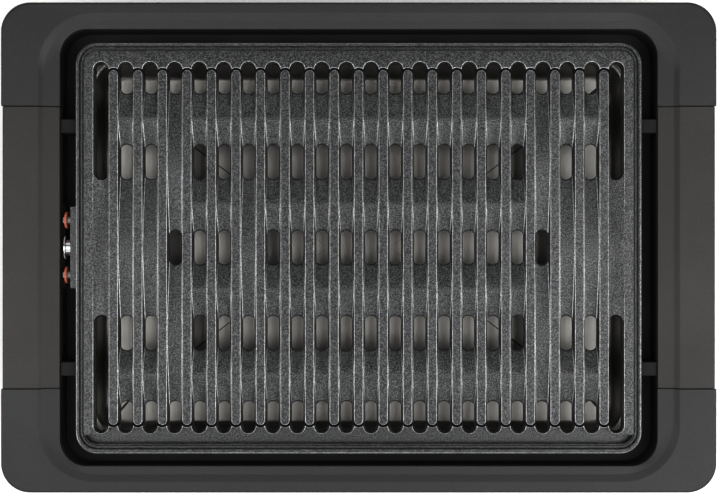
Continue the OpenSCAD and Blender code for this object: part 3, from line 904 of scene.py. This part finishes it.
# across, up, rounding, and the radius of the turn in plan
side_corners = [
    (OPEN_X, WING_TOP - 9.0, 0.3, OPEN_R), (OPEN_X, WING_TOP - 3.7, 0.8, OPEN_R),
    (CREASE_X, WING_TOP - 2.65, 1.6, 37.0), (CREASE_X + 3.4, WING_TOP, 1.3, 38.5),
    (WING_X, WING_TOP, 1.7, 20.0), (WING_X, WING_TOP - SKIRT, 0.6, 20.0),
    (WING_X - SHELL, WING_TOP - SKIRT, 0.6, 17.5), (WING_X - SHELL, WING_TOP - 3, 0.5, 17.5),
    (CREASE_X + 2.8, WING_TOP - 3, 0.5, 38.0), (CREASE_X + 0.4, WING_TOP - 5.3, 0.5, 37.0),
    (OPEN_X + SHELL, WING_TOP - 6.2, 0.5, 21.0), (OPEN_X + SHELL, WING_TOP - 9.0, 0.3, 21.0),
]
front_corners = [
    (OPEN_Y, WING_TOP - 9.0, 0.3), (OPEN_Y, WING_TOP - 2.6, 0.9), (155.5, WING_TOP - 1.9, 3.0),
    (160.5, WING_TOP - 0.35, 3.0), (WING_Y, WING_TOP, 1.9), (WING_Y, WING_TOP - SKIRT, 0.6),
    (WING_Y - SHELL, WING_TOP - SKIRT, 0.6), (WING_Y - SHELL, WING_TOP - 3.1, 0.5),
    (160.2, WING_TOP - 3.3, 0.5), (155.8, WING_TOP - 4.7, 0.5),
    (OPEN_Y + SHELL, WING_TOP - 5.2, 0.5), (OPEN_Y + SHELL, WING_TOP - 9.0, 0.3),
]
BEND_STEPS = 14
SECTION_STEPS = 4
side_section = rounded_path([corner[:3] for corner in side_corners], SECTION_STEPS)
front_section = rounded_path(front_corners, SECTION_STEPS)
plan_radii = [corner[3] for corner in side_corners for _ in range(SECTION_STEPS + 1)]
print("points in the frame's section:", len(side_section))

# %% Frame mouldings


def blend(share, first, second):
    """A value between two."""
    return first + share * (second - first)


def frame_half(form, end):
    """The front or rear half of the frame, from handle to handle round two corners."""
    bevelled = drawn_in(side_section, SPLIT_BEVEL)
    loops = [[(point.x, SPLIT_Y, point.y) for point in bevelled]]
    loops.append([(point.x, SPLIT_Y + SPLIT_BEVEL, point.y) for point in side_section])
    for step in range(BEND_STEPS + 1):
        share = step / BEND_STEPS
        turn = share * pi / 2
        fade = eased(share)
        loop = []
        for side, front, radius in zip(side_section, front_section, plan_radii):
            x = side.x - radius + radius * cos(turn)
            y = front.x - radius + radius * sin(turn)
            loop.append((x, y, blend(fade, side.y, front.y)))
        loops.append(loop)
    mirrored = [[(-x, y, z) for x, y, z in loop] for loop in reversed(loops)]
    form.solid([[(x, end * y, z) for x, y, z in loop] for loop in loops + mirrored])


outer_frame = Form()
for end in (1, -1):
    frame_half(outer_frame, end)
print("frame halves:", len(outer_frame.mesh.faces), "faces")

# %% [markdown]
# ## The frame's wall and ledge
# Below the bands an upright wall goes all the way round the opening, down to a ledge that
# carries the tray. Under the left handle the wall is cut away for the heat control, so the wall
# is drawn along an open path that starts and ends at that cut.

# %% Frame wall, ledge, seats and posts
tub_low, tub_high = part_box("base_tub")
TUB_X = tub_high.x / MM
TUB_Y = tub_high.y / MM
TUB_RIM = tub_high.z / MM
LEDGE_TOP = TUB_RIM + 3
BAY_FLOOR = WING_TOP - 8
TUB_R = 24.0
LEDGE_R = 14.0
PORT_HALF_Y = 32.0
LEDGE_X = 187.0
LEDGE_Y = 134.0
HANDLE_SCREW_Y = 70.0
HANDLE_SCREW_X = WING_X - 19
ARM_HALF = 7.0
PILOT_R = 1.5
BOSS_BEVEL = 0.3
POST_LOW = TUB_RIM - 8
FRAME_SCREWS = [(x * 200.5, y) for x in (-1, 1) for y in (-115, -45, 45, 115)]
FRAME_SCREWS += [(x, y * 146.0) for x in (-95, 95) for y in (-1, 1)]


def opening_path(offset):
    """The opening's outline grown by an offset, open at the control port on the left."""
    points = round_rectangle(OPEN_X + offset, OPEN_Y + offset, OPEN_R + offset, 0.0)
    half = len(points) // 2
    left_x = -(OPEN_X + offset)
    around = points[half:] + points[:half]
    return [(left_x, -PORT_HALF_Y, 0.0)] + around + [(left_x, PORT_HALF_Y, 0.0)]


def blend_plan(share, near, far):
    """A point in plan between two."""
    return blend(share, near[0], far[0]), blend(share, near[1], far[1])


def frame_wall(form):
    """The upright wall round the opening, from the ledge to the bay floor of the handles."""
    low, high = LEDGE_TOP - 0.5, BAY_FLOOR
    levels = [(0.0, low), (0.0, high - 0.3), (0.12, high), (0.88, high), (1.0, high - 0.3), (1.0, low)]
    loops = []
    for near, far in zip(opening_path(0.0), opening_path(SHELL)):
        loops.append([(*blend_plan(share, near, far), height) for share, height in levels])
    form.solid(loops)


def ledge(form):
    """The ring that carries the tray and closes the tub, with softened edges."""
    soft = 0.5
    edges = [
        (TUB_X, TUB_Y, TUB_R, TUB_RIM),
        (TUB_X, TUB_Y, TUB_R, LEDGE_TOP - soft),
        (TUB_X - soft, TUB_Y - soft, TUB_R - soft, LEDGE_TOP),
        (LEDGE_X + soft, LEDGE_Y + soft, LEDGE_R + soft, LEDGE_TOP),
        (LEDGE_X, LEDGE_Y, LEDGE_R, LEDGE_TOP - soft),
        (LEDGE_X, LEDGE_Y, LEDGE_R, TUB_RIM),
    ]
    form.hoop([round_rectangle(*edge) for edge in edges])


def round_strip(form, x, y, levels, closed):
    """A round strip through (radius, height) levels; closed names the rings that get a lid."""
    rings = [form.ring(circle(x, y, size, height)) for size, height in levels]
    form.strip(rings)
    for index in closed:
        form.lid(rings[index])
    return rings


def post(form, x, y, radius, low, high, depth):
    """An upright screw post with a blind hole of some depth from below."""
    levels = [(PILOT_R, low + depth), (PILOT_R, low), (radius - BOSS_BEVEL, low),
              (radius, low + BOSS_BEVEL), (radius, high)]
    round_strip(form, x, y, levels, (0, -1))


# The wall and the ledge get the nearly black second coat, painted shade down in the gap.
outer_frame.coat = SECOND_COAT
frame_wall(outer_frame)
ledge(outer_frame)
outer_frame.coat = FIRST_COAT
for side in (1, -1):
    for end in (1, -1):
        arm = box_section(OPEN_X + 1.2, OPEN_X + 30, BAY_FLOOR - ARM_HALF, BAY_FLOOR)
        middle = end * HANDLE_SCREW_Y
        beam(outer_frame, arm, middle - ARM_HALF, middle + ARM_HALF, side=side)
        cheek = box_section(OPEN_X + 1, WING_X - 2, WING_TOP - SKIRT, WING_TOP - 3.6)
        start = SPLIT_Y if end == 1 else -SPLIT_Y - SHELL
        beam(outer_frame, cheek, start, start + SHELL, side=side)
for x, y in FRAME_SCREWS:
    post(outer_frame, x, y, 4.5, POST_LOW, TUB_RIM + 1, 7.5)
finishes = (FRAME_PLASTIC, WELL_PAINTED_SHADE)
outer_frame.piece("frame_moulding", finishes, "base", ["outer_frame"])

# %% [markdown]
# ## Handles
# Each handle carries the frame's own section on between the two halves, a millimetre further in
# and open below for the fingers. A thin gap with bevelled edges shows where the mouldings meet.

# %% Handles
handle_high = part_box("right_handle")[1]
HANDLE_X = handle_high.x / MM
HANDLE_HALF_Y = handle_high.y / MM
HANDLE_LOW = WING_TOP - 7

handle_corners = [
    (OPEN_X + 0.15, WING_TOP - 5.9, 0.5), (OPEN_X + 0.15, WING_TOP - 3.7, 0.8),
    (CREASE_X, WING_TOP - 2.65, 1.6), (CREASE_X + 3.4, WING_TOP, 1.3), (HANDLE_X, WING_TOP, 1.9),
    (HANDLE_X, HANDLE_LOW, 0.7), (HANDLE_X - SHELL, HANDLE_LOW, 0.7),
    (HANDLE_X - SHELL, WING_TOP - 3, 1.0), (CREASE_X + 2.8, WING_TOP - 3, 0.6),
    (CREASE_X + 0.2, WING_TOP - 5.2, 0.6),
]


def handle(side):
    """A handle moulding with its two screw bosses and closed ends."""
    form = Form()
    beam(form, rounded_path(handle_corners, SECTION_STEPS), -HANDLE_HALF_Y, HANDLE_HALF_Y, 0.4, side)
    for end in (1, -1):
        screw_x, screw_y = side * HANDLE_SCREW_X, end * HANDLE_SCREW_Y
        post(form, screw_x, screw_y, 5.0, BAY_FLOOR, WING_TOP - 2.6, 5.4)
        web = box_section(CREASE_X - 2, HANDLE_X - 1, HANDLE_LOW, WING_TOP - 2.9, 0.3)
        start = HANDLE_HALF_Y - 2.6 if end == 1 else -HANDLE_HALF_Y + 0.1
        beam(form, web, start, start + SHELL, side=side)
    name = "right_handle" if side == 1 else "left_handle"
    form.piece(name + "_moulding", (HANDLE_PLASTIC,), "base", [name])


for side in (1, -1):
    handle(side)

# %% [markdown]
# ## Tub
# The tub is the lower moulding. Its walls lean a little and its bottom edge is well rounded. The
# screws come up from below through deep round wells, so the floor is a lid with holes, and each
# well is a small strip from the underside up to the top of its boss.

# %% Tub
TUB_FLOOR = tub_low.z / MM
FLOOR_TOP = TUB_FLOOR + 3
WELL_STEP = TUB_RIM - 16
FOOT_BOSS_TOP = TUB_FLOOR + 11
BOSS_R = 5.0
FRAME_BOSS_R = 5.5
CLEAR_R = 2.1
HEAD_WELL_R = 4.0
FOOT_X = 180.0
FOOT_Y = 125.0
SHIELD_SCREWS = [(x, y) for x in (-120, 120) for y in (-80, 80)]
FEET = {"front_left": (-FOOT_X, -FOOT_Y), "front_right": (FOOT_X, -FOOT_Y),
        "rear_left": (-FOOT_X, FOOT_Y), "rear_right": (FOOT_X, FOOT_Y)}


def tub_ring(inset, height):
    """The tub's outline, drawn in by a distance."""
    return round_rectangle(TUB_X - inset, TUB_Y - inset, TUB_R - 0.4 * inset, height)


def tub_moulding():
    """The tub with its bosses and the wells under them."""
    form = Form()
    outside = [(6.5, TUB_FLOOR), (4.2, TUB_FLOOR + 0.5), (2.5, TUB_FLOOR + 1.9), (1.6, TUB_FLOOR + 4.2),
               (0.0, TUB_RIM - 0.5), (0.4, TUB_RIM)]
    inside = [(2.6, TUB_RIM), (3.0, TUB_RIM - 0.5), (4.4, TUB_FLOOR + 6), (5.4, TUB_FLOOR + 4),
              (8.0, FLOOR_TOP)]
    rings = [form.ring(tub_ring(inset, height)) for inset, height in outside + inside]
    form.strip(rings)
    under, upper = [], []
    well = [(HEAD_WELL_R, TUB_FLOOR), (HEAD_WELL_R, WELL_STEP), (CLEAR_R, WELL_STEP),
            (CLEAR_R, POST_LOW), (FRAME_BOSS_R - BOSS_BEVEL, POST_LOW),
            (FRAME_BOSS_R, POST_LOW - BOSS_BEVEL), (FRAME_BOSS_R, FLOOR_TOP)]
    for x, y in FRAME_SCREWS:
        made = round_strip(form, x, y, well, ())
        under.append(made[0])
        upper.append(made[-1])
    hole = [(PILOT_R, TUB_FLOOR + 9), (PILOT_R, TUB_FLOOR)]
    boss = [(BOSS_R, FLOOR_TOP), (BOSS_R, FOOT_BOSS_TOP - BOSS_BEVEL), (BOSS_R - BOSS_BEVEL, FOOT_BOSS_TOP)]
    for x, y in FEET.values():
        under.append(round_strip(form, x, y, hole, (0,))[-1])
        upper.append(round_strip(form, x, y, boss, (-1,))[0])
    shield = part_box("heat_shield")[0].z / MM
    boss = [(BOSS_R, FLOOR_TOP), (BOSS_R, shield - BOSS_BEVEL), (BOSS_R - BOSS_BEVEL, shield),
            (PILOT_R, shield), (PILOT_R, shield - 9)]
    for x, y in SHIELD_SCREWS:
        upper.append(round_strip(form, x, y, boss, (-1,))[0])
    form.lid(rings[0], *under)
    form.lid(rings[-1], *upper)
    form.piece("tub_moulding", (FRAME_PLASTIC,), "base", ["base_tub"])


tub_moulding()

# %% [markdown]
# ## Feet
# Turned shapes come from a profile spun about an axis. The same helper serves the feet and pads,
# which stand upright, and the small parts at the terminals, which lie along X.

# %% Turned parts


def turned(form, profile, centre, axis="Z", steps=32):
    """Spins a closed profile of (radius, along) points about an axis through the centre."""
    loops = []
    for radius, along in profile:
        loop = []
        for step in range(steps):
            turn = 2 * pi * step / steps
            a, b = radius * cos(turn), radius * sin(turn)
            if axis == "Z":
                loop.append((centre[0] + a, centre[1] + b, centre[2] + along))
            else:
                loop.append((centre[0] + along, centre[1] + a, centre[2] + b))
        loops.append(loop)
    form.hoop(loops)


def ring_profile(inner, outer, low, high, edge):
    """Closed outline of a ring's wall with round edges, as (radius, along)."""
    corners = [(inner, low, edge), (outer, low, edge), (outer, high, edge), (inner, high, edge)]
    return rounded_path(corners, 3)


for place, (x, y) in FEET.items():
    low, high = (corner.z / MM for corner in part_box("foot_" + place))
    foot = Form()
    foot_corners = [(HEAD_WELL_R, low, 0.2), (12.2, low, 0.8), (13.0, high, 0.2), (CLEAR_R, high, 0.1),
                    (CLEAR_R, high - 3, 0.1), (HEAD_WELL_R, high - 3, 0.1)]
    turned(foot, rounded_path(foot_corners, 3), (x, y, 0))
    foot.piece("foot_moulding_" + place, (FRAME_PLASTIC,), "base", ["foot_" + place])
    low, high = (corner.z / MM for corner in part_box("foot_pad_" + place))
    pad = Form()
    turned(pad, ring_profile(HEAD_WELL_R, 11.0, low, high, 0.5), (x, y, 0))
    pad.piece("pad_" + place, (PAD_RUBBER,), "base", ["foot_pad_" + place])

# %% [markdown]
# ## Terminals
# At the plate's left edge the element comes out through a tab between two silicone discs, and a
# bright ring guards the tube that takes the probe of the heat control.

# %% Terminal parts


def round_part(node):
    """A part's left end, right end, largest radius and axis along X, in millimetres."""
    low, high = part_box(node)
    axis = (0, (low.y + high.y) / 2 / MM, (low.z + high.z) / 2 / MM)
    return low.x / MM, high.x / MM, (high.z - low.z) / 2 / MM, axis


def seal_disc(place):
    """The silicone disc round one end of the element."""
    left, right, _, axis = round_part(place + "_end_seal")
    form = Form()
    turned(form, ring_profile(2.45, 5.75, left, right, 0.45), axis, "X")
    form.piece(place + "_seal_disc", (SEAL_RED,), "grill_plate", [place + "_end_seal"])


def contact_pin(place):
    """One end of the element, a pin with a rounded tip."""
    left, right, radius, (_, y, z) = round_part(place + "_terminal_pin")
    levels = [(0.35, left), (0.72, left + 0.15), (0.93, left + 0.5), (1.0, left + 0.9), (1.0, right)]
    loops = []
    for share, x in levels:
        loops.append([(x, y + a, z + b) for a, b, _ in circle(0, 0, radius * share, 0, 24)])
    form = Form()
    form.solid(loops)
    node = place + "_terminal_pin"
    form.piece(place + "_contact_pin", (BRIGHT_PLATE,), "grill_plate", [node])


def guard_ring():
    """The thin flange and short tube that lead the probe in."""
    left, right, flange, axis = round_part("probe_guard_ring")
    tube, bore, flange_right = 6.0, 4.9, left + 1.2
    outline = [(bore, left, 0.5), (flange, left, 0.55), (flange, flange_right, 0.5),
               (tube, flange_right, 0.3), (tube, right, 0.2), (bore, right, 0.2)]
    form = Form()
    turned(form, rounded_path(outline, 3), axis, "X")
    form.piece("guard_ring", (BRIGHT_PLATE,), "grill_plate", ["probe_guard_ring"])


for place in ("front", "rear"):
    seal_disc(place)
    contact_pin(place)
guard_ring()

# %% [markdown]
# ## Plate rests
# Four small blocks stand on the ledge against the wall. The plate's skirt sits on the step of
# each, and the lug behind it keeps the plate in the middle of the opening.

# %% Plate rests
for place in ("front_left", "front_right", "rear_left", "rear_right"):
    low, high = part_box("plate_rest_" + place)
    side = 1 if low.x > 0 else -1
    near, far = sorted(abs(x) / MM for x in (low.x, high.x))
    bottom, top = low.z / MM, high.z / MM
    step_top = SKIRT_UNDER - 0.3
    lug_x = PLATE_HALF_X + 0.9
    outline = [(near, bottom, 0.2), (far, bottom, 0.2), (far, top, 0.3), (lug_x, top, 0.6),
               (lug_x, step_top, 0.3), (near, step_top, 0.6)]
    rest = Form()
    beam(rest, rounded_path(outline, 3), low.y / MM, high.y / MM, 0.4, side)
    node = "plate_rest_" + place
    # The rests get the well's nearly black coat, painted shade under the plate.
    rest.piece("rest_block_" + place, (WELL_PAINTED_SHADE,), "base", [node])

# %% [markdown]
# ## Drip tray
# The tray is one pressed sheet, a millimetre thick: a flat flange, leaning walls, a round foot
# and a floor that rises in four shallow faces to a short ridge, like an envelope. Along the
# hips between the faces a dark coat is painted shade in the folds. Every ring of the upper
# skin has a twin one sheet lower, so the two skins make one closed sheet.

# %% Drip tray
tray_low, tray_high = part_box("drip_tray")
FLANGE_X = tray_high.x / MM
FLANGE_Y = tray_high.y / MM
FLANGE_TOP = tray_high.z / MM
SHEET = 1.0
TRAY_FLOOR = tray_low.z / MM + SHEET
RAMP_X = 175.0
RAMP_Y = 116.5
RIDGE_HALF = 23.6
FLOOR_RISE = 2.4
ENVELOPE_STEPS = 16
SHADED_FOLD_COLUMNS = [quarter * (CORNER_STEPS + 1) + CORNER_STEPS // 2 for quarter in range(4)]
TRAY_WALLS = [
    # half width, half depth, corner radius, height, how far it lies to the front
    (FLANGE_X, FLANGE_Y, 18.0, FLANGE_TOP - 0.15, 0.0),
    (FLANGE_X - 0.2, FLANGE_Y - 0.2, 17.8, FLANGE_TOP, 0.0),
    (FLANGE_X - 4.2, FLANGE_Y - 8.2, 15.5, FLANGE_TOP, 0.0),
    (FLANGE_X - 5.2, FLANGE_Y - 9.2, 15.0, FLANGE_TOP - 0.5, 0.0),
    (FLANGE_X - 5.8, FLANGE_Y - 10.4, 15.0, FLANGE_TOP - 1.6, 0.0),
    (182.2, 126.2, 15.5, TRAY_FLOOR + 6.0, 1.4),
    (181.6, 125.0, 15.5, TRAY_FLOOR + 3.6, 1.8),
    (180.6, 123.2, 15.0, TRAY_FLOOR + 1.5, 2.0),
    (178.0, 121.0, 13.0, TRAY_FLOOR + 0.3, 2.2),
]


def tray_skin(drop):
    """Rings of one skin, from the flange's edge to the ridge in the middle."""
    rings = []
    for x, y, radius, height, forward in TRAY_WALLS:
        points = round_rectangle(x, y, radius, height - drop)
        rings.append([(px, py - forward, pz) for px, py, pz in points])
    for step in range(1, ENVELOPE_STEPS + 1):
        share = step / ENVELOPE_STEPS
        half_x = blend(share, RAMP_X, RIDGE_HALF)
        half_y = blend(share, RAMP_Y, 1.0)
        radius = blend(share, 9.0, 0.9)
        height = TRAY_FLOOR + FLOOR_RISE * share - drop
        rings.append(round_rectangle(half_x, half_y, radius, height))
    return rings


tray = Form()
upper = [tray.ring(points) for points in tray_skin(0.0)]
lower = [tray.ring(points) for points in tray_skin(SHEET)]
tray.strip(upper[:len(TRAY_WALLS)])
# The columns along the hips get the dark second coat, painted shade in the folds.
tray.strip(upper[len(TRAY_WALLS) - 1:], marked=SHADED_FOLD_COLUMNS)
tray.strip(lower)
tray.strip([upper[0], lower[0]])
tray.lid(upper[-1])
tray.lid(lower[-1])
tray.piece("tray_pressing", (TRAY_METAL, FOLD_PAINTED_SHADE), "drip_tray", ["drip_tray"])

# %% [markdown]
# ## Pieces that stay as they are
# Element, probe tube, heat shield, control port and screws already have their true shape in the
# CAD model. They stay, and get their finishes.

# %% Finishes for the CAD pieces
KEPT = {
    "heating_element": SHEATH_STEEL, "probe_sleeve": SHEATH_STEEL, "heat_shield": SHIELD_METAL,
    "control_port": PORT_RESIN, "handle_screws": SCREW_STEEL, "frame_screws": SCREW_STEEL,
    "shield_screws": SCREW_STEEL, "foot_screws": SCREW_STEEL,
}
for node, finish in KEPT.items():
    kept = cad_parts[node]
    kept.data.materials.clear()
    kept.data.materials.append(finish)
print("kept CAD pieces:", len(KEPT))

# %% [markdown]
# ## Floor
# The appliance stands on a white floor, so bright that it burns out to plain white.

# %% Floor
FLOOR_HALF = 6.0


def pale_floor():
    """A very large, softly mottled white floor."""
    finish = Finish("studio_floor")
    cloud = finish.noise(400.0, detail=2.0)
    finish.feed({
        "Base Color": finish.mix(finish.span(cloud, 0.3, 0.7), grey(0.92), grey(0.96)),
        "Roughness": 0.9,
    })
    form = bmesh.new()
    corners = [(-1, -1), (1, -1), (1, 1), (-1, 1)]
    form.faces.new([form.verts.new((x * FLOOR_HALF, y * FLOOR_HALF, 0.0)) for x, y in corners])
    data = bpy.data.meshes.new("studio_floor")
    form.to_mesh(data)
    form.free()
    data.materials.append(finish.material)
    made = bpy.data.objects.new("studio_floor", data)
    bpy.context.scene.collection.objects.link(made)


pale_floor()
print("the floor reaches", FLOOR_HALF, "metres each way")

# %% [markdown]
# ## Light
# Two long soft boxes stand left and right, a third in front and a fourth behind. The space
# straight above is dark, which keeps the level surfaces dark and lets the edges shine. A gamma
# below one deepens the darks again, and a little more exposure keeps the floor white.

# %% Lights
SKY = 0.09
LIGHTS = [
    # name, place, size across and along, watts
    ("left_box", (-0.86, -0.20, 1.10), (0.8, 1.7), 16.0),
    ("right_box", (0.80, -0.20, 1.10), (0.8, 1.7), 18.5),
    ("front_box", (0.15, -1.05, 1.10), (1.5, 0.6), 8.5),
    ("rear_box", (0.0, 1.15, 1.05), (1.5, 0.6), 4.5),
]
for name, place, size, watts in LIGHTS:
    lamp = bpy.data.lights.new(name, "AREA")
    lamp.shape = "RECTANGLE"
    lamp.size, lamp.size_y = size
    lamp.energy = watts
    made = bpy.data.objects.new(name, lamp)
    made.location = place
    aim = Vector((0.0, 0.0, 0.05)) - Vector(place)
    made.rotation_euler = aim.to_track_quat("-Z", "Y").to_euler()
    bpy.context.scene.collection.objects.link(made)

world = bpy.data.worlds.new("studio")
bpy.context.scene.world = world
world.use_nodes = True
world.node_tree.nodes["Background"].inputs["Color"].default_value = grey(SKY)
world.node_tree.nodes["Background"].inputs["Strength"].default_value = 1.0
view = bpy.context.scene.view_settings
view.view_transform = "Standard"
view.exposure = 0.09
view.gamma = 0.80
print("lights:", [light[0] for light in LIGHTS])

# %% [markdown]
# ## Camera
# The camera looks straight down from nine tenths of a metre above the frame, so that the tray
# shows a little perspective. It stands a hair to the right of the middle.

# %% Camera
CAMERA_ABOVE = 0.9
CAMERA_RIGHT = 0.0009
VIEW_WIDTH = 0.4925
SENSOR = 36.0

camera_data = bpy.data.cameras.new("camera")
camera_data.sensor_width = SENSOR
camera_data.lens = SENSOR * CAMERA_ABOVE / VIEW_WIDTH
camera = bpy.data.objects.new("camera", camera_data)
camera.location = (CAMERA_RIGHT, 0.0, frame_high.z + CAMERA_ABOVE)
bpy.context.scene.collection.objects.link(camera)
bpy.context.scene.camera = camera
print("camera height:", round(camera.location.z, 3))
